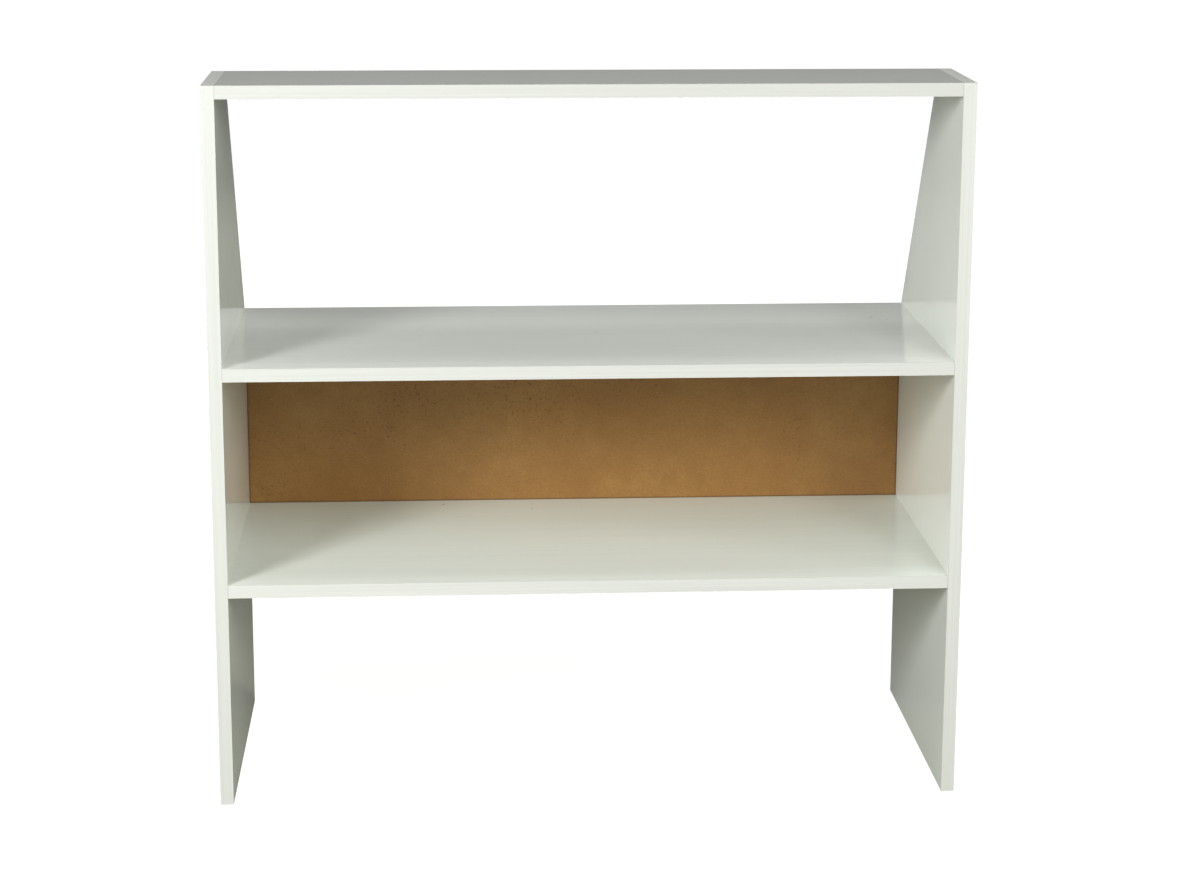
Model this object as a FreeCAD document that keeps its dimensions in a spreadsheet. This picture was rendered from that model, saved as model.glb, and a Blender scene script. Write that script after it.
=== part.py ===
import FreeCAD, Part
import Sketcher
import os

# A desk hutch: two five-sided side panels carry a narrow top board and two full-depth shelves.
# Hidden cam locks, cam bolts and dowels hold the boards together, and a hardboard panel is nailed
# over the rear of the middle bay. Millimetres; +X right, +Y to the rear, +Z up. The origin is at the
# middle of the footprint, on the surface that the hutch stands on.

from FreeCAD import Placement, Rotation, Vector

SIZES = {
    "overall_width": 914,
    "overall_height": 889,
    "shelf_depth": 378,
    "top_depth": 165,
    "board_thick": 16,
    "band_thick": 1,
    "lower_level": 266,          # underside of the lower shelf
    "middle_level": 535,         # underside of the middle shelf
    "hardboard_thick": 3,
    "hardboard_inset": 3,        # from the sides' outer faces
    "hardboard_lap": 13,         # over the rear edge of each shelf
    "fastener_inset": 37,        # cam centre to the board's front or rear edge
    "cam_setback": 34,           # cam centre to the board's end
    "cam_dia": 14.8,
    "cam_height": 12.5,
    "cam_bore_dia": 15,
    "cam_bore_depth": 13,
    "cam_floor": 3.5,            # solid metal below the cam's hollow
    "cam_hollow_dia": 9,
    "cam_slot_width": 4.6,
    "driver_slot_width": 1.3,
    "driver_slot_length": 7.5,
    "driver_slot_depth": 2,
    "bolt_thread_dia": 5,
    "bolt_thread_length": 11,
    "bolt_shank_dia": 7,
    "bolt_shank_length": 26,
    "bolt_bore_dia": 8,
    "bolt_neck_dia": 4,
    "bolt_neck_end": 31.5,
    "bolt_head_dia": 6.5,
    "bolt_head_end": 35,
    "dowel_dia": 8,
    "dowel_side_length": 11,
    "dowel_board_length": 19,
    "dowel_end_gap": 1,
    "dowel_chamfer": 1,
    "pin_dia": 1.4,
    "pin_length": 25,
    "pin_tip": 2,
    "pin_head_dia": 3,
    "pin_head_thick": 0.8,
    "pin_end_margin": 37,        # first pin to the end of a shelf
    "pin_side_margin": 50,       # side pins to the shelves above and below
}
PINS_PER_SHELF = 7

# Expressions for places that follow from the sizes. Y counts from the front plane in each body.
DEPTH = "Sizes.shelf_depth"
HEIGHT = "Sizes.overall_height"
THICK = "Sizes.board_thick"
BAND = "Sizes.band_thick"
FRONT = "-(Sizes.shelf_depth + Sizes.hardboard_thick) / 2"
LEFT = "-Sizes.overall_width / 2"
INNER = "(Sizes.overall_width / 2 - Sizes.board_thick)"
SLOPE_START = "(Sizes.middle_level + Sizes.board_thick)"
SLOPE_RISE = f"(Sizes.overall_height - {SLOPE_START})"
SLOPE_RUN = "(Sizes.shelf_depth - Sizes.top_depth)"
SLOPE_LENGTH = f"sqrt({SLOPE_RUN} ^ 2 + {SLOPE_RISE} ^ 2)"
# the sloped band's inner line lies this far in front of its outer line
SLOPE_SHIFT = f"{BAND} * {SLOPE_LENGTH} / {SLOPE_RISE}"
CORE_REAR = f"{DEPTH} - {BAND}"
CORE_TOP = f"{HEIGHT} - {BAND}"
CORE_KNEE = f"{SLOPE_START} - {BAND} * ({SLOPE_LENGTH} - {SLOPE_RISE}) / {SLOPE_RUN}"
CORE_TOP_REAR = f"Sizes.top_depth + {SLOPE_RUN} * {BAND} / {SLOPE_RISE} - {SLOPE_SHIFT}"
BAND_TOP_REAR = f"Sizes.top_depth - {SLOPE_SHIFT}"
PIN_PITCH_LENGTH = f"2 * ({INNER} - Sizes.pin_end_margin)"
PIN_GRIP = "Sizes.pin_length - Sizes.hardboard_thick"
TOP_LEVEL = f"({HEIGHT} - {THICK})"

# the three boards between the sides: underside level and depth
BOARDS = {
    "top_panel": (TOP_LEVEL, "Sizes.top_depth"),
    "middle_shelf": ("Sizes.middle_level", DEPTH),
    "lower_shelf": ("Sizes.lower_level", DEPTH),
}

doc = FreeCAD.newDocument("desk_hutch")
handed_in = []


def make_sheet():
    sheet = doc.addObject("Spreadsheet::Sheet", "Sizes")
    for row, (alias, value) in enumerate(SIZES.items(), start=1):
        sheet.set(f"A{row}", alias)
        sheet.set(f"B{row}", str(value))
        sheet.setAlias(f"B{row}", alias)
    doc.recompute()


def bind(item, **expressions):
    """Bind the object's sizes to expressions."""
    for size, expression in expressions.items():
        item.setExpression(size, expression)


def place(item, x="0", y="0", z="0"):
    """Bind the object's position to expressions."""
    for axis, expression in zip("xyz", (x, y, z)):
        item.setExpression(f"Placement.Base.{axis}", expression)


def keep(item, label):
    """The object becomes a sub-part, and its Label names the file."""
    item.Label = label
    handed_in.append(item)
    return item


# ---- sketches ----------------------------------------------------------------------------------

def origin_plane(body, role):
    return next(item for item in body.Origin.OriginFeatures if item.Role == role)


def new_sketch(body, name, role, offset="0"):
    """A sketch on one of the body's origin planes, moved along the plane's normal."""
    sketch = body.newObject("Sketcher::SketchObject", name)
    sketch.AttachmentSupport = (origin_plane(body, role), [""])
    sketch.MapMode = "FlatFace"
    sketch.setExpression("AttachmentOffset.Base.z", offset)
    return sketch


def sketch_point(sketch, geometry, end, x, y):
    """Hold a point at (x, y), given as expressions, from the sketch's origin."""
    for kind, axis, expression in (("DistanceX", -2, x), ("DistanceY", -1, y)):
        if expression == "0":
            sketch.addConstraint(Sketcher.Constraint("PointOnObject", geometry, end, axis))
        elif expression is not None:
            number = sketch.addConstraint(Sketcher.Constraint(kind, -1, 1, geometry, end, 1.0))
            sketch.setExpression(f"Constraints[{number}]", expression)


def draw_outline(sketch, points):
    """A closed outline of straight lines. Points are pairs of expressions, and neighbours with the
    same expression are joined by an upright or level line."""
    corners = [Vector(*(float(sketch.evalExpression(text)) for text in point), 0) for point in points]
    count = len(points)
    for index, start in enumerate(corners):
        sketch.addGeometry(Part.LineSegment(start, corners[(index + 1) % count]), False)
    for index in range(count):
        after = (index + 1) % count
        sketch.addConstraint(Sketcher.Constraint("Coincident", index, 2, after, 1))
        if points[index][0] == points[after][0]:
            sketch.addConstraint(Sketcher.Constraint("Vertical", index))
        if points[index][1] == points[after][1]:
            sketch.addConstraint(Sketcher.Constraint("Horizontal", index))
    for index, (x, y) in enumerate(points):
        before = points[index - 1]
        closing = index == count - 1
        x_known = (index > 0 and before[0] == x) or (closing and points[0][0] == x)
        y_known = (index > 0 and before[1] == y) or (closing and points[0][1] == y)
        sketch_point(sketch, index, 1, None if x_known else x, None if y_known else y)


def draw_circles(sketch, centres, diameter):
    for x, y in centres:
        number = sketch.addGeometry(Part.Circle(Vector(1, 1, 0), Vector(0, 0, 1), 1), False)
        sketch_point(sketch, number, 3, x, y)
        width = sketch.addConstraint(Sketcher.Constraint("Diameter", number, 2.0))
        sketch.setExpression(f"Constraints[{width}]", diameter)


def pad(body, sketch, length):
    feature = body.newObject("PartDesign::Pad", f"{body.Name}_pad")
    feature.Profile = sketch
    bind(feature, Length=length)
    sketch.Visibility = False
    doc.recompute()
    return feature


def pocket(body, sketch, length, reverse=False):
    """Cut the sketch into the body, and make sure that it took something away."""
    before = body.Shape.Volume
    feature = body.newObject("PartDesign::Pocket", f"{sketch.Name}_cut")
    feature.Profile = sketch
    feature.Reversed = reverse
    bind(feature, Length=length)
    doc.recompute()
    if body.Shape.Volume >= before:
        raise RuntimeError(f"{feature.Name} cuts nothing")
    return feature


def transformed(body, kind, originals, name):
    feature = body.newObject(f"PartDesign::{kind}", name)
    feature.Originals = originals
    body.Tip = feature
    return feature


def new_body(name):
    body = doc.addObject("PartDesign::Body", name)
    doc.recompute()
    return body


# ---- boards ------------------------------------------------------------------------------------

def fastener_rows(depth):
    """Distances of the two cams and of the dowel from the front plane."""
    cams = ("Sizes.fastener_inset", f"{depth} - Sizes.fastener_inset")
    return cams, f"{depth} / 2"


def upright_profile(name, points, x):
    """A solid of one board's thickness whose outline lies in the Y-Z plane."""
    body = keep(new_body(name), name)
    sketch = new_sketch(body, f"{name}_outline", "YZ_Plane")
    draw_outline(sketch, points)
    pad(body, sketch, THICK)
    place(body, x, FRONT)
    return body


def side_panel(side):
    """Particleboard side: the bands cover its front, top, sloped and rear edges."""
    is_left = side == "left"
    x = LEFT if is_left else INNER
    outline = [(BAND, "0"), (CORE_REAR, "0"), (CORE_REAR, CORE_KNEE),
               (CORE_TOP_REAR, CORE_TOP), (BAND, CORE_TOP)]
    body = upright_profile(f"{side}_side_panel", outline, x)
    inner_face = THICK if is_left else "0"
    bolt_holes, dowel_holes = [], []
    for level, depth in BOARDS.values():
        cams, dowel = fastener_rows(depth)
        middle = f"{level} + {THICK} / 2"
        bolt_holes += [(row, middle) for row in cams]
        dowel_holes.append((dowel, middle))
    bolts = new_sketch(body, f"{side}_bolt_holes", "YZ_Plane", inner_face)
    draw_circles(bolts, bolt_holes, "Sizes.bolt_thread_dia")
    pocket(body, bolts, "Sizes.bolt_thread_length", reverse=not is_left)
    dowels = new_sketch(body, f"{side}_dowel_holes", "YZ_Plane", inner_face)
    draw_circles(dowels, dowel_holes, "Sizes.dowel_dia")
    pocket(body, dowels, "Sizes.dowel_side_length + Sizes.dowel_end_gap", reverse=not is_left)
    pins = new_sketch(body, f"{side}_panel_pin_holes", "XZ_Plane", f"-({CORE_REAR})")
    draw_circles(pins, [(f"{THICK} / 2", height) for height in side_pin_heights()], "Sizes.pin_dia")
    pocket(body, pins, f"{PIN_GRIP} - {BAND}", reverse=True)


def side_bands(side):
    """The four bands glued round the visible edges of a side."""
    x = LEFT if side == "left" else INNER
    upright_profile(f"{side}_front_band",
                    [("0", "0"), (BAND, "0"), (BAND, HEIGHT), ("0", HEIGHT)], x)
    upright_profile(f"{side}_top_band",
                    [(BAND, CORE_TOP), (CORE_TOP_REAR, CORE_TOP), (BAND_TOP_REAR, HEIGHT),
                     (BAND, HEIGHT)], x)
    upright_profile(f"{side}_slope_band",
                    [(CORE_REAR, CORE_KNEE), (DEPTH, SLOPE_START), ("Sizes.top_depth", HEIGHT),
                     (BAND_TOP_REAR, HEIGHT)], x)
    rear = upright_profile(f"{side}_rear_band",
                           [(CORE_REAR, "0"), (DEPTH, "0"), (DEPTH, SLOPE_START),
                            (CORE_REAR, CORE_KNEE)], x)
    pins = new_sketch(rear, f"{side}_band_pin_holes", "XZ_Plane", f"-({DEPTH})")
    draw_circles(pins, [(f"{THICK} / 2", height) for height in side_pin_heights()], "Sizes.pin_dia")
    pocket(rear, pins, BAND, reverse=True)


def board(name):
    """A board between the sides, bored at both ends for its cams, bolts and dowel."""
    level, depth = BOARDS[name]
    is_top = name == "top_panel"
    body = keep(new_body(name), name)
    rear = f"{depth} - {BAND}" if is_top else depth
    outline = new_sketch(body, f"{name}_outline", "XY_Plane")
    draw_outline(outline, [(f"-{INNER}", BAND), (INNER, BAND), (INNER, rear), (f"-{INNER}", rear)])
    pad(body, outline, THICK)

    cams, dowel = fastener_rows(depth)
    middle = f"{THICK} / 2"
    cam_bores = new_sketch(body, f"{name}_cam_bores", "XY_Plane")
    cam_x = f"{INNER} - Sizes.cam_setback"
    draw_circles(cam_bores, [(cam_x, row) for row in cams], "Sizes.cam_bore_dia")
    bolt_bores = new_sketch(body, f"{name}_bolt_bores", "YZ_Plane", INNER)
    draw_circles(bolt_bores, [(row, middle) for row in cams], "Sizes.bolt_bore_dia")
    dowel_bore = new_sketch(body, f"{name}_dowel_bore", "YZ_Plane", INNER)
    draw_circles(dowel_bore, [(dowel, middle)], "Sizes.dowel_dia")
    cuts = [
        pocket(body, cam_bores, "Sizes.cam_bore_depth", reverse=True),
        pocket(body, bolt_bores, "Sizes.cam_setback"),
        pocket(body, dowel_bore, "Sizes.dowel_board_length + Sizes.dowel_end_gap"),
    ]
    mirror = transformed(body, "Mirrored", cuts, f"{name}_other_end")
    mirror.MirrorPlane = (origin_plane(body, "YZ_Plane"), [""])
    doc.recompute()

    if not is_top:
        pins = new_sketch(body, f"{name}_pin_holes", "XZ_Plane", f"-{DEPTH}")
        draw_circles(pins, [(f"-({INNER} - Sizes.pin_end_margin)", middle)], "Sizes.pin_dia")
        first = pocket(body, pins, PIN_GRIP, reverse=True)
        pin_row(body, pins, [first], f"{name}_pin_row")
    place(body, "0", FRONT, level)


def pin_row(body, sketch, originals, name):
    """Repeat pin holes along the length of a shelf."""
    row = transformed(body, "LinearPattern", originals, name)
    row.Direction = (sketch, ["H_Axis"])
    row.Occurrences = PINS_PER_SHELF
    bind(row, Length=PIN_PITCH_LENGTH)
    doc.recompute()


def board_bands(name):
    """Straight bands on the front edge, and on the top board's rear edge too."""
    level, depth = BOARDS[name]
    places = {"front": "0"}
    if name == "top_panel":
        places["rear"] = f"{depth} - {BAND}"
    for edge, offset in places.items():
        band = doc.addObject("Part::Box", f"{name}_{edge}_band")
        bind(band, Length=f"2 * {INNER}", Width=BAND, Height=THICK)
        place(band, f"-{INNER}", f"{FRONT} + {offset}", level)
        keep(band, f"{name}_{edge}_band")


def side_pin_heights():
    return (f"Sizes.lower_level + {THICK} + Sizes.pin_side_margin",
            "Sizes.middle_level - Sizes.pin_side_margin")


def shelf_pin_heights():
    return (f"Sizes.lower_level + {THICK} / 2", f"Sizes.middle_level + {THICK} / 2")


def back_panel():
    """Hardboard over the rear of the middle bay, with a recess for the head of each pin."""
    body = keep(new_body("back_panel"), "back_panel")
    half = "(Sizes.overall_width / 2 - Sizes.hardboard_inset)"
    low = f"Sizes.lower_level + {THICK} - Sizes.hardboard_lap"
    high = "Sizes.middle_level + Sizes.hardboard_lap"
    outline = new_sketch(body, "back_outline", "XZ_Plane", f"-{DEPTH}")
    draw_outline(outline, [(f"-{half}", low), (half, low), (half, high), (f"-{half}", high)])
    panel = pad(body, outline, "Sizes.hardboard_thick")
    panel.Reversed = True
    doc.recompute()

    rear = f"-({DEPTH} + Sizes.hardboard_thick)"
    edge_x = f"Sizes.overall_width / 2 - {THICK} / 2"
    side_pins = [(sign + f"({edge_x})", height) for sign in ("-", "") for height in side_pin_heights()]
    row_start = f"-({INNER} - Sizes.pin_end_margin)"
    row_pins = [(row_start, height) for height in shelf_pin_heights()]
    for purpose, diameter, depth in (("shank", "Sizes.pin_dia", "Sizes.hardboard_thick"),
                                     ("head", "Sizes.pin_head_dia", "Sizes.pin_head_thick")):
        sides = new_sketch(body, f"back_side_{purpose}_holes", "XZ_Plane", rear)
        draw_circles(sides, side_pins, diameter)
        pocket(body, sides, depth, reverse=True)
        rows = new_sketch(body, f"back_shelf_{purpose}_holes", "XZ_Plane", rear)
        draw_circles(rows, row_pins, diameter)
        first = pocket(body, rows, depth, reverse=True)
        pin_row(body, rows, [first], f"back_{purpose}_rows")
    place(body, "0", FRONT)


# ---- fasteners ---------------------------------------------------------------------------------

def turned(name, profile):
    """A piece turned about its own X axis. The profile is a closed outline above that axis."""
    body = new_body(name)
    sketch = new_sketch(body, f"{name}_profile", "XY_Plane")
    draw_outline(sketch, profile)
    feature = body.newObject("PartDesign::Revolution", f"{name}_turned")
    feature.Profile = sketch
    feature.ReferenceAxis = (sketch, ["H_Axis"])
    feature.Angle = 360
    doc.recompute()
    return body


def cam_bolt():
    """Threaded tip in the side, shank in the board, and a necked head inside the cam. X = 0 is the
    side's inner face, and +X points into the board."""
    tip = "-Sizes.bolt_thread_length"
    thread, shank = "Sizes.bolt_thread_dia / 2", "Sizes.bolt_shank_dia / 2"
    neck, head = "Sizes.bolt_neck_dia / 2", "Sizes.bolt_head_dia / 2"
    shoulder, neck_end = "Sizes.bolt_shank_length", "Sizes.bolt_neck_end"
    end = "Sizes.bolt_head_end"
    return turned("cam_bolt", [(tip, "0"), (end, "0"), (end, head), (neck_end, head),
                               (neck_end, neck), (shoulder, neck), (shoulder, shank),
                               ("0", shank), ("0", thread), (tip, thread)])


def dowel():
    """A beech dowel with chamfered ends, half in the side and half in the board."""
    low, high = "-Sizes.dowel_side_length", "Sizes.dowel_board_length"
    radius, chamfer = "Sizes.dowel_dia / 2", "Sizes.dowel_chamfer"
    return turned("dowel", [(low, "0"), (high, "0"), (high, f"{radius} - {chamfer}"),
                            (f"{high} - {chamfer}", radius), (f"{low} + {chamfer}", radius),
                            (low, f"{radius} - {chamfer}")])


def panel_pin():
    """A flat-headed steel pin along its own X axis: X = 0 is the top of the head."""
    radius, head = "Sizes.pin_dia / 2", "Sizes.pin_head_dia / 2"
    return turned("panel_pin", [("0", "0"), ("Sizes.pin_length", "0"),
                                ("Sizes.pin_length - Sizes.pin_tip", radius),
                                ("Sizes.pin_head_thick", radius), ("Sizes.pin_head_thick", head),
                                ("0", head)])


def cylinder(name, diameter, height, z="0"):
    item = doc.addObject("Part::Cylinder", name)
    bind(item, Radius=f"{diameter} / 2", Height=height)
    place(item, z=z)
    return item


def block(name, size, corner):
    item = doc.addObject("Part::Box", name)
    bind(item, Length=size[0], Width=size[1], Height=size[2])
    place(item, *corner)
    return item


def cam_lock():
    """A round zinc cam, standing on Z = 0 with the driver's cross in its underside. Its hollow and
    side slot, which opens towards -X, take the head and neck of the bolt."""
    blank = cylinder("cam_blank", "Sizes.cam_dia", "Sizes.cam_height")
    hollow = cylinder("cam_hollow", "Sizes.cam_hollow_dia", "Sizes.cam_height", "Sizes.cam_floor")
    slot = block("cam_side_slot", ("Sizes.cam_dia", "Sizes.cam_slot_width", "Sizes.cam_height"),
                 ("-Sizes.cam_dia", "-Sizes.cam_slot_width / 2",
                  f"{THICK} / 2 - Sizes.cam_slot_width / 2"))
    long, wide, deep = "Sizes.driver_slot_length", "Sizes.driver_slot_width", "Sizes.driver_slot_depth"
    cross_x = block("driver_cross_x", (long, wide, deep), (f"-{long} / 2", f"-{wide} / 2", "0"))
    cross_y = block("driver_cross_y", (wide, long, deep), (f"-{wide} / 2", f"-{long} / 2", "0"))
    tools = doc.addObject("Part::MultiFuse", "cam_openings")
    tools.Shapes = [hollow, slot, cross_x, cross_y]
    cam = doc.addObject("Part::Cut", "cam_lock")
    cam.Base, cam.Tool = blank, tools
    return cam


def group(name, master, places, rotation=Rotation()):
    """One node of identical fasteners: links to the master piece, each with its own place."""
    copies = []
    for number, (x, y, z) in enumerate(places, start=1):
        copy = doc.addObject("App::Link", f"{name}_{number}")
        copy.LinkedObject = master
        copy.Placement = Placement(Vector(), rotation)
        place(copy, x, y, z)
        copies.append(copy)
    node = doc.addObject("Part::Compound", name)
    node.Links = copies
    keep(node, name)


def joint_fasteners(name, masters):
    """The two cams, two bolts and one dowel at each end of a board."""
    level, depth = BOARDS[name]
    cams, dowel_row = fastener_rows(depth)
    middle = f"{level} + {THICK} / 2"
    for side, sign, turn in (("left", "-", 0), ("right", "", 180)):
        face = f"{sign}{INNER}"
        inward = "+" if side == "left" else "-"
        facing = Rotation(Vector(0, 0, 1), turn)
        cam_x = f"{face} {inward} Sizes.cam_setback"
        rows = [f"{FRONT} + {row}" for row in cams]
        short = name.split("_")[0]
        group(f"{short}_{side}_cam_locks", masters["cam"], [(cam_x, row, level) for row in rows],
              facing)
        group(f"{short}_{side}_cam_bolts", masters["bolt"], [(face, row, middle) for row in rows],
              facing)
        group(f"{short}_{side}_dowel", masters["dowel"],
              [(face, f"{FRONT} + {dowel_row}", middle)], facing)


def back_pins(master):
    """Pins through the hardboard, heads flush, pointing forwards."""
    facing = Rotation(Vector(0, 0, 1), -90)
    rear = f"{FRONT} + {DEPTH} + Sizes.hardboard_thick"
    start = f"-({INNER} - Sizes.pin_end_margin)"
    across = [f"{start} + {PIN_PITCH_LENGTH} * {number} / {PINS_PER_SHELF - 1}"
              for number in range(PINS_PER_SHELF)]
    for name, height in zip(("lower", "middle"), shelf_pin_heights()):
        group(f"{name}_shelf_panel_pins", master, [(x, rear, height) for x in across], facing)
    for name, sign in (("left", "-"), ("right", "")):
        x = f"{sign}(Sizes.overall_width / 2 - {THICK} / 2)"
        group(f"{name}_side_panel_pins", master, [(x, rear, height) for height in side_pin_heights()],
              facing)


# ---- checks and files --------------------------------------------------------------------------

def check_document():
    doc.recompute()
    for item in doc.Objects:
        bad = [state for state in item.State if state in ("Invalid", "Error")]
        if bad:
            raise RuntimeError(f"{item.Label} is {bad}")
        if item.TypeId == "Sketcher::SketchObject" and not item.FullyConstrained:
            raise RuntimeError(f"{item.Label} isn't fully constrained")
    for item in handed_in:
        if item.Shape.isNull() or not item.Shape.isValid() or not item.Shape.Solids:
            raise RuntimeError(f"{item.Label} has no valid shape")


def write_parts():
    os.makedirs("parts", exist_ok=True)
    for item in handed_in:
        item.Shape.exportStep(f"parts/{item.Label}.step")
        box = item.Shape.BoundBox
        print(f"{item.Label:28} {len(item.Shape.Solids):2} solid(s)"
              f" {box.XMin:8.2f}..{box.XMax:8.2f} {box.YMin:8.2f}..{box.YMax:8.2f}"
              f" {box.ZMin:8.2f}..{box.ZMax:8.2f}")


def main():
    make_sheet()
    for side in ("left", "right"):
        side_panel(side)
        side_bands(side)
    for name in BOARDS:
        board(name)
        board_bands(name)
    back_panel()
    masters = {"cam": cam_lock(), "bolt": cam_bolt(), "dowel": dowel()}
    for name in BOARDS:
        joint_fasteners(name, masters)
    back_pins(panel_pin())
    check_document()
    write_parts()


main()
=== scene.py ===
import math

import bpy
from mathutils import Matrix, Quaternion, Vector

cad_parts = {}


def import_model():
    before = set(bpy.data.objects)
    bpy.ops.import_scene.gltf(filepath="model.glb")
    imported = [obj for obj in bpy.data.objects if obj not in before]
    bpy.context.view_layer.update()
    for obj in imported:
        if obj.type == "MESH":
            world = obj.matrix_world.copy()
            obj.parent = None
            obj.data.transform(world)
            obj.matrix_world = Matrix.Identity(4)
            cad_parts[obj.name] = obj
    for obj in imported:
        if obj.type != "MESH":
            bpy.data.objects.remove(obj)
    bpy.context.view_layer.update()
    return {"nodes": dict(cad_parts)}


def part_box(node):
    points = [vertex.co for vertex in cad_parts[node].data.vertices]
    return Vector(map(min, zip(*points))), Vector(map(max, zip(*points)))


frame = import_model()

# A white melamine desk hutch with a raw hardboard back, on a pale studio floor. Metres, in the
# CAD frame: +X right, +Y to the rear, +Z up. Every piece is the CAD node itself, with a procedural
# material, and most have their arrises broken. Noise scales are in features per metre.

MM = 0.001
X, Y, Z = 0, 1, 2
scene = bpy.context.scene
nodes = frame["nodes"]
scene.view_settings.view_transform = "Standard"
scene.view_settings.look = "None"


def rgb(red, green, blue):
    """A linear colour, opaque."""
    return (red, green, blue, 1.0)


# ---- colours -----------------------------------------------------------------------------------

MELAMINE_WHITE = rgb(0.862, 0.885, 0.832)
MELAMINE_SHADE = rgb(0.845, 0.868, 0.813)
MELAMINE_STREAK = rgb(0.70, 0.73, 0.68)
CHIP_DARK = rgb(0.33, 0.21, 0.10)
CHIP_LIGHT = rgb(0.62, 0.46, 0.27)
CHIP_GAP_SHADE = rgb(0.16, 0.09, 0.04)
# the bands' whites sit well below the boards' white: painted shade that holds down the brightly lit front
# faces
BAND_WHITE_SHADED = rgb(0.700, 0.716, 0.672)
BAND_LOW_SHADED = rgb(0.640, 0.656, 0.614)
BAND_CLOUD_SHADED = rgb(0.66, 0.68, 0.637)
BAND_JOINT_SHADE = rgb(0.20, 0.20, 0.17)
HARDBOARD_DARK = rgb(0.345, 0.167, 0.046)
HARDBOARD_LIGHT = rgb(0.418, 0.224, 0.066)
HARDBOARD_MOTTLE = rgb(0.285, 0.135, 0.036)
HARDBOARD_GRAIN = rgb(0.229, 0.109, 0.031)
HARDBOARD_FIBRE = rgb(0.445, 0.256, 0.083)
HARDBOARD_FLECK = rgb(0.085, 0.042, 0.016)
HARDBOARD_JOINT_SHADE = rgb(0.06, 0.032, 0.014)
HARDBOARD_HOLLOW_SHADE = rgb(0.15, 0.08, 0.035)
ZINC = rgb(0.58, 0.59, 0.60)
PLATED_STEEL = rgb(0.66, 0.65, 0.60)
DRAWN_STEEL = rgb(0.50, 0.50, 0.50)
BEECH_DARK = rgb(0.52, 0.34, 0.18)
BEECH_LIGHT = rgb(0.70, 0.52, 0.32)
FLOOR_DARK = rgb(0.27, 0.27, 0.215)
FLOOR_LIGHT = rgb(0.29, 0.29, 0.23)
PURE_WHITE = rgb(1.0, 1.0, 1.0)

# ---- the boards and bands ----------------------------------------------------------------------

# how far apart in the noise two boards are sampled, so that no two match
SEED_STEP = 3.1
# board: the axis across its melamine faces, and its tint: tone, red and blue
BOARDS = {
    "left_side_panel": (X, (1.0, 0.99, 0.975)),
    "right_side_panel": (X, (1.0, 0.99, 1.0)),
    "top_panel": (Z, (0.89, 1.0, 0.98)),
    "middle_shelf": (Z, (1.0, 1.0, 1.0)),
    "lower_shelf": (Z, (1.02, 0.97, 1.0)),
}
# how strongly the streaks show on upright and on level boards
STREAK_SHARE = {X: 0.10, Z: 0.22}
# marks of use, in mm and grey level: across, behind the front edge, width, depth, tone
WORN = {
    "middle_shelf": ((384, 279, 8, 3, 0.34), (17, 197, 3, 3, 0.40), (402, 262, 3, 3, 0.5)),
    "lower_shelf": ((-179, 357, 3, 4, 0.16), (-60, 330, 3, 3, 0.45)),
}
# the bands of each side panel, with the axis nearest to their length
SIDE_BANDS = {"front": Z, "rear": Z, "slope": Z, "top": Y}
CROSS_BANDS = ("top_panel_front_band", "top_panel_rear_band", "middle_shelf_front_band",
               "lower_shelf_front_band")
# how light the front bands are, beside the other bands at 1.0: painted shade, darker where the lamps
# light a front band more
BAND_SHADE_TONE = {
    "top_panel_front_band": 0.89,
    "left_front_band": 0.935,
    "right_front_band": 0.97,
    "middle_shelf_front_band": 0.945,
    "lower_shelf_front_band": 0.985,
}
# where the hardboard's flecks crowd, as shares of its width and height
FLECK_CROWD = (0.42, 0.66)

BOARD_ARRIS = 0.12 * MM
BAND_ARRIS = 0.3 * MM
HARDBOARD_ARRIS = 0.3 * MM
CAM_ARRIS = 0.2 * MM
PIN_ARRIS = 0.1 * MM
SHARP_EDGE = math.radians(50)

# ---- stage -------------------------------------------------------------------------------------

FLOOR_REACH = 40.0
# the floor's glow, which grows from the hutch outwards, between two distances
FLOOR_GLOW_NEAR = 0.92
FLOOR_GLOW_FAR = 0.97
GLOW_GROWS = (0.7, 3.0)
# the world's strength as a light, and as the camera sees it
ROOM_LIGHT = 0.14
SKY_SEEN = 1.0
HUTCH_MIDDLE = (0, 0, 0.45)

# name: position, target, width, height, watts
SOFTBOXES = {
    "key": ((-1.7, -2.1, 1.6), HUTCH_MIDDLE, 0.55, 0.55, 45),
    "high_right": ((2.6, -2.5, 2.6), HUTCH_MIDDLE, 1.5, 1.5, 20),
    "high_front": ((1.0, -2.2, 2.8), HUTCH_MIDDLE, 1.0, 1.0, 8.5),
    "left_fill": ((-3.0, -1.2, 1.0), HUTCH_MIDDLE, 2.0, 2.0, 13),
    "overhead": ((0, -0.4, 2.6), (0, -0.4, 0), 1.6, 0.3, 6.5),
}
# the same, for those that glossy faces don't mirror, to keep hard-edged reflections off them
UNMIRRORED = {
    "low_key": ((-2.4, -2.4, 1.2), HUTCH_MIDDLE, 0.5, 0.5, 26),
    "front_near": ((1.0, -3.8, 1.9), HUTCH_MIDDLE, 1.0, 1.0, 8),
    "front_right": ((1.7, -3.8, 2.1), HUTCH_MIDDLE, 1.0, 1.0, 48),
    "side_low": ((3.6, -1.9, 0.9), HUTCH_MIDDLE, 0.8, 0.8, 23),
    "side_high": ((3.0, -1.9, 1.7), HUTCH_MIDDLE, 0.8, 0.8, 12),
    "overhead_right": ((1.2, -0.1, 2.6), (0.6, 0, 0), 0.6, 0.6, 3.5),
}
REAR_BOX = ((0, 5.5, 1.4), (0, 0, 0.4), 4.0, 1.2, 32)
# in degrees
REAR_SPREAD = 110

# the lens and the sensor are in mm, and the shift is a share of the sensor's width
EYE = (-0.1752, -3.2356, 1.2234)
AIM = (0.0094, 0.0, 0.5167)
ROLL = math.radians(0.143)
LENS = 79.393
SENSOR_WIDTH = 36.0
SHIFT_Y = -0.07
FAR_CLIP = 200


# ---- node helpers ------------------------------------------------------------------------------

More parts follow.
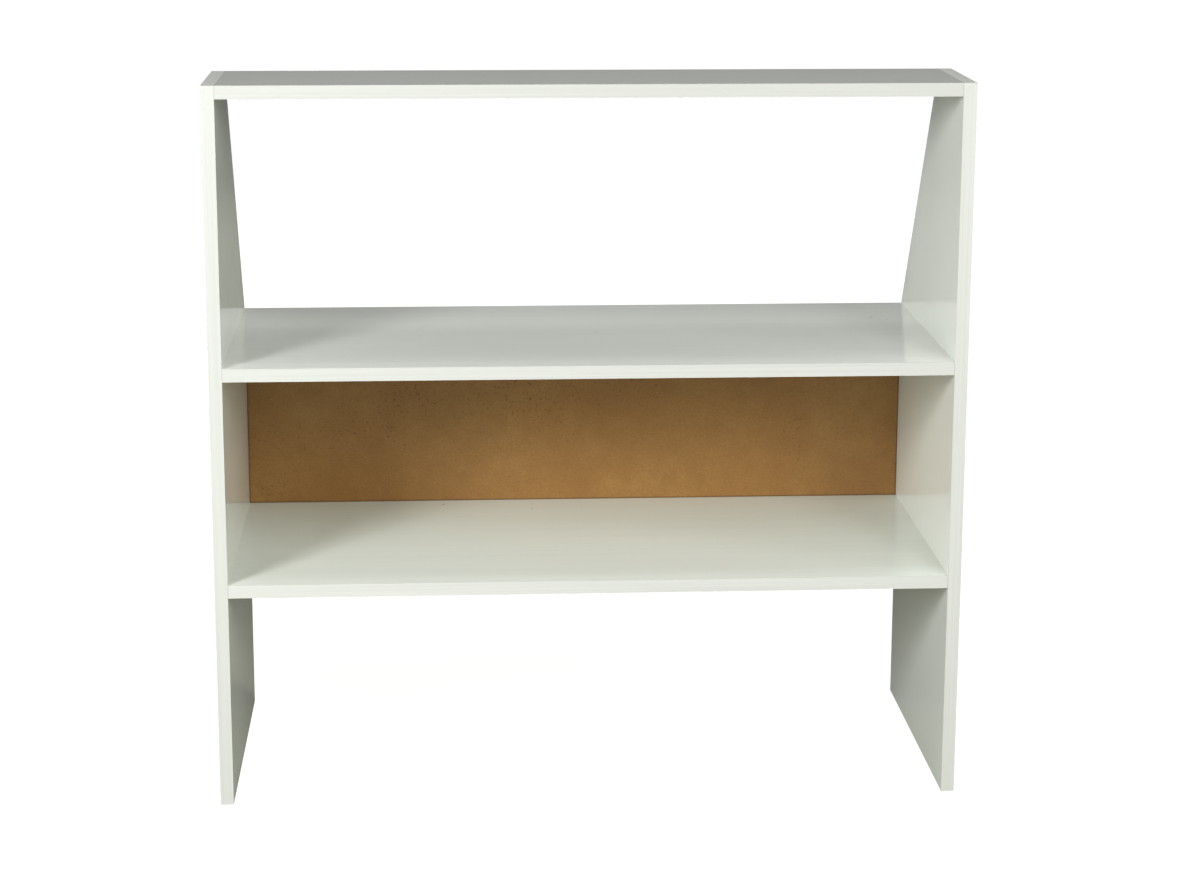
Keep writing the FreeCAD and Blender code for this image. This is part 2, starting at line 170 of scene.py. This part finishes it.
class Graph:
    """A material's node tree, with short calls for the nodes used here."""

    def __init__(self, name):
        self.material = bpy.data.materials.new(name)
        self.material.use_nodes = True
        self.tree = self.material.node_tree
        self.shader = next(n for n in self.tree.nodes if n.type == "BSDF_PRINCIPLED")
        self.place = self.node("ShaderNodeTexCoord").outputs["Object"]
        self.normal = self.node("ShaderNodeTexCoord").outputs["Normal"]

    def node(self, kind, inputs=None, **settings):
        made = self.tree.nodes.new(kind)
        for key, value in settings.items():
            setattr(made, key, value)
        for key, value in (inputs or {}).items():
            self.feed(made.inputs[key], value)
        return made

    def feed(self, socket, value):
        if isinstance(value, bpy.types.NodeSocket):
            self.tree.links.new(value, socket)
        else:
            socket.default_value = value

    def math(self, operation, a, b=0.0):
        made = self.node("ShaderNodeMath", operation=operation)
        self.feed(made.inputs[0], a)
        self.feed(made.inputs[1], b)
        return made.outputs[0]

    def vector_math(self, operation, a, b):
        return self.node("ShaderNodeVectorMath", {0: a, 1: b}, operation=operation).outputs[0]

    def length(self, vector):
        made = self.node("ShaderNodeVectorMath", {0: vector}, operation="LENGTH")
        return made.outputs["Value"]

    def parts(self, vector):
        """The vector's X, Y and Z, as three sockets."""
        return self.node("ShaderNodeSeparateXYZ", {"Vector": vector}).outputs

    def stretch(self, scale):
        """Object coordinates scaled along each axis, for grain and streaks."""
        return self.node("ShaderNodeMapping", {"Vector": self.place, "Scale": scale}).outputs[0]

    def noise(self, scale, detail=3.0, rough=0.5, distortion=0.0, vector=None):
        made = self.node("ShaderNodeTexNoise", {"Vector": vector or self.place, "Scale": scale,
                                                "Detail": detail, "Roughness": rough,
                                                "Distortion": distortion})
        return made.outputs["Fac"]

    def waves(self, scale, direction):
        made = self.node("ShaderNodeTexWave", {"Vector": self.place, "Scale": scale},
                         bands_direction=direction)
        return made.outputs["Fac"]

    def remap(self, value, low, high, to_low=0.0, to_high=1.0):
        made = self.node("ShaderNodeMapRange", {"Value": value, "From Min": low, "From Max": high,
                                                "To Min": to_low, "To Max": to_high})
        return made.outputs["Result"]

    def mix(self, factor, a, b):
        made = self.node("ShaderNodeMix", data_type="RGBA")
        self.feed(made.inputs["Factor"], factor)
        self.feed(made.inputs["A"], a)
        self.feed(made.inputs["B"], b)
        return made.outputs["Result"]

    def blend_values(self, factor, a, b):
        made = self.node("ShaderNodeMix", data_type="FLOAT")
        self.feed(made.inputs["Factor"], factor)
        self.feed(made.inputs["A"], a)
        self.feed(made.inputs["B"], b)
        return made.outputs["Result"]

    def bump(self, height, strength, distance, normal=None):
        made = self.node("ShaderNodeBump", {"Height": height, "Strength": strength,
                                            "Distance": distance})
        if normal is not None:
            self.feed(made.inputs["Normal"], normal)
        return made.outputs["Normal"]

    def end_lines(self, place, low, high, begins, full, strength):
        """Nothing along a span, rising to strength near both of its ends.

        begins and full are how far before an end the rise starts and stops.
        """
        from_middle = self.math("SUBTRACT", place, (low + high) / 2)
        reach = abs(high - low) / 2
        return self.remap(self.math("ABSOLUTE", from_middle), reach - begins, reach - full, 0.0, strength)

    def finish(self, color, roughness, normal=None, ior=1.5, metallic=0.0):
        self.feed(self.shader.inputs["Base Color"], color)
        self.feed(self.shader.inputs["Roughness"], roughness)
        self.shader.inputs["IOR"].default_value = ior
        self.shader.inputs["Metallic"].default_value = metallic
        if normal is not None:
            self.feed(self.shader.inputs["Normal"], normal)
        return self.material


def toned(color, tone, red=1.0, blue=1.0):
    """The colour multiplied by tone, with its red and blue changed on their own."""
    return rgb(color[0] * tone * red, color[1] * tone, color[2] * tone * blue)


# ---- materials ---------------------------------------------------------------------------------

def particle_core(graph):
    """Raw particleboard: glued chips of several tans, with painted shade in the sunken gaps between them.
    """
    chips = graph.node("ShaderNodeTexVoronoi", {"Vector": graph.stretch((420, 420, 900)),
                                                "Scale": 1.0, "Randomness": 1.0})
    tone = graph.noise(1.0, 2, vector=chips.outputs["Color"])
    color = graph.mix(graph.remap(tone, 0.3, 0.7), CHIP_DARK, CHIP_LIGHT)
    # painted shade in the gaps between chips, which the bump also sinks
    gaps = graph.remap(chips.outputs["Distance"], 0.45, 0.8)
    return graph.mix(gaps, color, CHIP_GAP_SHADE), graph.math("SUBTRACT", 1.0, gaps)


def mark(graph, color, centre, size, tone):
    """A small worn spot or scratch on a level face: centre and size are in X and Y."""
    place = graph.parts(graph.place)
    away_squared = 0.0
    for axis in (X, Y):
        away = graph.math("SUBTRACT", place[axis], centre[axis])
        away = graph.math("DIVIDE", away, size[axis] / 2)
        away_squared = graph.math("ADD", graph.math("MULTIPLY", away, away), away_squared)
    return graph.mix(graph.remap(away_squared, 0.5, 1.3, 0.8, 0.0), color, tone)


def melamine_color(graph, face_axis, offset, tint, marks):
    """Clouded white with faint streaks along the board, and its marks of use."""
    white, shade = (toned(color, *tint) for color in (MELAMINE_WHITE, MELAMINE_SHADE))
    cloud = graph.noise(2.2, 3, vector=offset)
    streak_scale = (1.6, 150, 150) if face_axis == Z else (150, 150, 1.6)
    streaks = graph.noise(1.0, 4, 0.65, vector=graph.stretch(streak_scale))
    color = graph.mix(graph.remap(cloud, 0.32, 0.68), shade, white)
    streaked = graph.remap(streaks, 0.40, 0.75, 0.0, STREAK_SHARE[face_axis])
    color = graph.mix(streaked, color, MELAMINE_STREAK)
    for centre, size, tone in marks:
        color = mark(graph, color, centre, size, tone)
    return color


def board_material(name, face_axis, seed, tint, marks=()):
    """Melamine on the two faces across face_axis, raw particleboard on the cut edges."""
    graph = Graph(name)
    offset = graph.vector_math("ADD", graph.place, (seed, seed * 1.7, seed * 0.6))
    face = melamine_color(graph, face_axis, offset, tint, marks)
    # satin seen from in front, and nearly a mirror at a low angle
    glancing = graph.node("ShaderNodeLayerWeight", {"Blend": 0.5}).outputs["Facing"]
    handling = graph.noise(9.0, 4, 0.6, 0.8, vector=offset)
    smooth = graph.math("ADD", graph.remap(glancing, 0.60, 0.92, 0.20, 0.055),
                        graph.remap(handling, 0.35, 0.7, 0.0, 0.03))
    pores = graph.noise(1500.0, 2, 0.6)
    core, core_height = particle_core(graph)
    facing = graph.math("ABSOLUTE", graph.parts(graph.normal)[face_axis])
    raw = graph.math("LESS_THAN", facing, 0.3)
    color = graph.mix(raw, face, core)
    roughness = graph.blend_values(raw, smooth, 0.85)
    height = graph.blend_values(raw, graph.math("MULTIPLY", pores, 0.02), core_height)
    wave = graph.bump(graph.noise(14.0, 2, 0.5, vector=offset), 0.04, 0.4 * MM)
    return graph.finish(color, roughness, graph.bump(height, 0.5, 0.25 * MM, wave))


def band_material(name, along, tone=1.0, shaded_joints=None):
    """White edge band with faint lines along its length, left by the roller.

    shaded_joints are the two places along the band where it meets another piece, marked by a fine line of
    painted shade. tone darkens the whole band further, as painted shade.
    """
    graph = Graph(name)
    fine, coarse = [1600.0] * 3, [420.0] * 3
    fine[along], coarse[along] = 3.0, 2.2
    lines = graph.noise(1.0, 3, 0.6, vector=graph.stretch(fine))
    ribs = graph.noise(1.0, 2, 0.55, vector=graph.stretch(coarse))
    cloud = graph.noise(5.0, 3)
    white, low, clouded = (toned(color, tone) for color in (BAND_WHITE_SHADED, BAND_LOW_SHADED, BAND_CLOUD_SHADED))
    color = graph.mix(graph.remap(ribs, 0.33, 0.67), low, white)
    color = graph.mix(graph.remap(lines, 0.5, 0.8, 0.0, 0.3), color, low)
    color = graph.mix(graph.remap(cloud, 0.3, 0.75, 0.0, 0.35), color, clouded)
    # painted shade: a fine dark line near both ends, where the band meets the next piece
    if shaded_joints is not None:
        place = graph.parts(graph.place)[along]
        color = graph.mix(graph.end_lines(place, *shaded_joints, 1.1 * MM, 0.3 * MM, 0.4), color, BAND_JOINT_SHADE)
    roughness = graph.remap(lines, 0.3, 0.7, 0.34, 0.44)
    return graph.finish(color, roughness, graph.bump(lines, 0.25, 0.06 * MM))


def hardboard_flecks(graph):
    """Dark flecks that crowd round one place of the panel."""
    clusters = graph.noise(7.0, 3, 0.6)
    flecks = graph.noise(240.0, 2, 0.6)
    low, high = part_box("back_panel")
    across, up = FLECK_CROWD
    centre = (low.x + (high.x - low.x) * across, low.y, low.z + (high.z - low.z) * up)
    offset = graph.vector_math("SUBTRACT", graph.place, centre)
    away = graph.length(graph.vector_math("MULTIPLY", offset, (3.0, 0.0, 8.0)))
    gathered = graph.math("ADD", clusters, graph.remap(away, 0.0, 1.0, 0.14, -0.04))
    crowd = graph.remap(gathered, 0.46, 0.66, 0.12, 1.0)
    return graph.math("MULTIPLY", graph.remap(flecks, 0.59, 0.68, 0.0, 0.8), crowd)


def opening_joint_shade(graph, color, behind):
    """In front, a painted shadow line in the joint all round the opening that the hardboard closes."""
    place = graph.parts(graph.place)
    left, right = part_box("left_side_panel")[1].x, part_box("right_side_panel")[0].x
    bottom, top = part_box("lower_shelf")[1].z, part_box("middle_shelf")[0].z
    for axis, low, high in ((X, left, right), (Z, bottom, top)):
        # painted shade along each edge of the opening, where the hardboard meets the boards
        line = graph.end_lines(place[axis], low, high, 2.2 * MM, 0.8 * MM, 0.65)
        color = graph.mix(graph.blend_values(behind, line, 0.0), color, HARDBOARD_JOINT_SHADE)
    return color


def hardboard_material():
    """Pressed brown fibre: smooth and mottled in front, with the press screen's weave behind, its hollows
    darkened as painted shade.
    """
    graph = Graph("hardboard_brown")
    behind = graph.math("GREATER_THAN", graph.parts(graph.normal)[Y], 0.5)
    broad = graph.noise(5.5, 4, 0.55, 0.4)
    mottle = graph.noise(38.0, 5, 0.65, 0.3)
    grain = graph.noise(330.0, 3, 0.7)
    fibre = graph.noise(1.0, 4, 0.7, vector=graph.stretch((160, 160, 520)))
    color = graph.mix(graph.remap(broad, 0.35, 0.65), HARDBOARD_DARK, HARDBOARD_LIGHT)
    color = graph.mix(graph.remap(mottle, 0.35, 0.7, 0.0, 0.55), color, HARDBOARD_MOTTLE)
    color = graph.mix(graph.remap(grain, 0.32, 0.68, 0.52, 0.0), color, HARDBOARD_GRAIN)
    color = graph.mix(graph.remap(fibre, 0.50, 0.80, 0.0, 0.40), color, HARDBOARD_FIBRE)
    color = graph.mix(hardboard_flecks(graph), color, HARDBOARD_FLECK)
    color = opening_joint_shade(graph, color, behind)
    weave = graph.math("MULTIPLY", graph.waves(130.0, "X"), graph.waves(130.0, "Z"))
    # painted shade: the weave's hollows behind are darkened where the bump sinks them
    hollow_shade = graph.math("MULTIPLY", behind, graph.remap(weave, 0.2, 0.9, 0.55, 0.0))
    color = graph.mix(hollow_shade, color, HARDBOARD_HOLLOW_SHADE)
    height = graph.blend_values(behind, graph.math("MULTIPLY", mottle, 0.4), weave)
    roughness = graph.blend_values(behind, graph.remap(mottle, 0.3, 0.7, 0.42, 0.56), 0.85)
    fibre_relief = graph.bump(fibre, 0.2, 0.1 * MM)
    return graph.finish(color, roughness, graph.bump(height, 0.5, 0.2 * MM, fibre_relief))


def metal_material(name, color, roughness, scale):
    """Dull plated or cast metal with a fine grain and a few darker stains."""
    graph = Graph(name)
    grain = graph.noise(scale, 3, 0.6)
    stain = graph.noise(scale * 0.12, 3)
    tone = graph.mix(graph.remap(stain, 0.45, 0.75, 0.0, 0.6), color, toned(color, 0.6))
    rough = graph.remap(grain, 0.3, 0.7, roughness - 0.08, roughness + 0.1)
    return graph.finish(tone, rough, graph.bump(grain, 0.3, 0.05 * MM), metallic=1.0)


def beech_material():
    """Plain beech, with its grain along the dowel."""
    graph = Graph("beech")
    grain = graph.noise(1.0, 4, 0.6, 0.5, vector=graph.stretch((40, 900, 900)))
    color = graph.mix(graph.remap(grain, 0.3, 0.7), BEECH_DARK, BEECH_LIGHT)
    return graph.finish(color, 0.6, graph.bump(grain, 0.3, 0.1 * MM))


# ---- dressing the CAD nodes --------------------------------------------------------------------

def paint(node, material):
    mesh = nodes[node].data
    mesh.materials.clear()
    mesh.materials.append(material)


def soften(node, width, segments=2):
    """Break the sharp arrises of a CAD node."""
    bevel = nodes[node].modifiers.new("arris", "BEVEL")
    bevel.width = width
    bevel.segments = segments
    bevel.limit_method = "ANGLE"
    bevel.angle_limit = SHARP_EDGE
    bevel.use_clamp_overlap = False
    bevel.harden_normals = True


def worn_spots(shelf):
    """Marks of use on a shelf's upper face: from its middle, and from its front edge."""
    low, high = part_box(shelf)
    middle, front = (low.x + high.x) / 2, low.y
    spots = []
    for across, back, width, depth, tone in WORN[shelf]:
        centre = (middle + across * MM, front + back * MM)
        spots.append((centre, (width * MM, depth * MM), rgb(tone, tone, tone * 0.9)))
    return spots


def dress_boards():
    for number, (name, (axis, tint)) in enumerate(BOARDS.items(), start=1):
        seed = number * SEED_STEP
        marks = worn_spots(name) if name in WORN else ()
        paint(name, board_material(f"{name}_board", axis, seed, tint, marks))
        soften(name, BOARD_ARRIS)
    paint("back_panel", hardboard_material())
    soften("back_panel", HARDBOARD_ARRIS)


def dress_bands():
    for side in ("left", "right"):
        for edge, along in SIDE_BANDS.items():
            name = f"{side}_{edge}_band"
            paint(name, band_material(f"{name}_white", along, BAND_SHADE_TONE.get(name, 1.0)))
            soften(name, BAND_ARRIS, 3)
    for name in CROSS_BANDS:
        low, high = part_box(name)
        shaded_joints = (low.x, high.x)
        paint(name, band_material(f"{name}_white", X, BAND_SHADE_TONE.get(name, 1.0), shaded_joints))
        soften(name, BAND_ARRIS, 3)


def dress_fasteners():
    zinc = metal_material("cast_zinc", ZINC, 0.45, 2500)
    bolt_steel = metal_material("plated_steel", PLATED_STEEL, 0.32, 4000)
    pin_steel = metal_material("drawn_steel", DRAWN_STEEL, 0.35, 5000)
    beech = beech_material()
    for name in nodes:
        if name.endswith("_cam_locks"):
            paint(name, zinc)
            soften(name, CAM_ARRIS)
        elif name.endswith("_cam_bolts"):
            paint(name, bolt_steel)
        elif name.endswith("_panel_pins"):
            paint(name, pin_steel)
            soften(name, PIN_ARRIS)
        elif name.endswith("_dowel"):
            paint(name, beech)


# ---- floor, world, lights and camera -----------------------------------------------------------

def floor():
    mesh = bpy.data.meshes.new("floor")
    reach = FLOOR_REACH
    corners = [(-reach, -reach, 0), (reach, -reach, 0), (reach, reach, 0), (-reach, reach, 0)]
    mesh.from_pydata(corners, [], [(0, 1, 2, 3)])
    piece = bpy.data.objects.new("floor", mesh)
    scene.collection.objects.link(piece)
    graph = Graph("floor_pale")
    graph.finish(graph.mix(graph.remap(graph.noise(0.8, 2), 0.3, 0.7), FLOOR_DARK, FLOOR_LIGHT), 0.9)
    # the floor's glow is seen by the camera and lights nothing, and it is stronger far off
    glow_here = graph.remap(graph.length(graph.place), *GLOW_GROWS, FLOOR_GLOW_NEAR, FLOOR_GLOW_FAR)
    seen = graph.node("ShaderNodeLightPath").outputs["Is Camera Ray"]
    strength = graph.math("MULTIPLY", seen, glow_here)
    glow = graph.node("ShaderNodeEmission", {"Color": PURE_WHITE, "Strength": strength})
    both = graph.node("ShaderNodeAddShader", {0: graph.shader.outputs[0], 1: glow.outputs[0]})
    output = next(n for n in graph.tree.nodes if n.type == "OUTPUT_MATERIAL")
    graph.tree.links.new(both.outputs[0], output.inputs["Surface"])
    mesh.materials.append(graph.material)


def world():
    made = bpy.data.worlds.new("studio")
    made.use_nodes = True
    tree = made.node_tree
    background = next(n for n in tree.nodes if n.type == "BACKGROUND")
    path = tree.nodes.new("ShaderNodeLightPath")
    mix = tree.nodes.new("ShaderNodeMix")
    mix.inputs["A"].default_value = ROOM_LIGHT
    mix.inputs["B"].default_value = SKY_SEEN
    tree.links.new(path.outputs["Is Camera Ray"], mix.inputs["Factor"])
    tree.links.new(mix.outputs["Result"], background.inputs["Strength"])
    background.inputs["Color"].default_value = PURE_WHITE
    scene.world = made


def softbox(name, position, target, width, height, watts, mirrored=True, spread=180):
    """An area light aimed at target: mirrored if gloss shows it, spread in degrees."""
    data = bpy.data.lights.new(name, "AREA")
    data.shape = "RECTANGLE"
    data.size, data.size_y = width, height
    data.energy = watts
    data.spread = math.radians(spread)
    lamp = bpy.data.objects.new(name, data)
    lamp.location = position
    lamp.visible_glossy = mirrored
    lamp.visible_camera = False
    lamp.rotation_mode = "QUATERNION"
    lamp.rotation_quaternion = (Vector(target) - Vector(position)).to_track_quat("-Z", "Y")
    scene.collection.objects.link(lamp)


def lights():
    for name, box in SOFTBOXES.items():
        softbox(name, *box)
    for name, box in UNMIRRORED.items():
        softbox(name, *box, mirrored=False)
    softbox("rear", *REAR_BOX, mirrored=False, spread=REAR_SPREAD)


def camera():
    data = bpy.data.cameras.new("camera")
    data.sensor_fit = "HORIZONTAL"
    data.sensor_width = SENSOR_WIDTH
    data.lens = LENS
    data.shift_y = SHIFT_Y
    data.clip_end = FAR_CLIP
    made = bpy.data.objects.new("camera", data)
    scene.collection.objects.link(made)
    made.rotation_mode = "QUATERNION"
    made.location = EYE
    level = (Vector(AIM) - Vector(EYE)).to_track_quat("-Z", "Y")
    made.rotation_quaternion = level @ Quaternion((0, 0, 1), ROLL)
    scene.camera = made


camera()
world()
lights()
floor()
dress_boards()
dress_bands()
dress_fasteners()
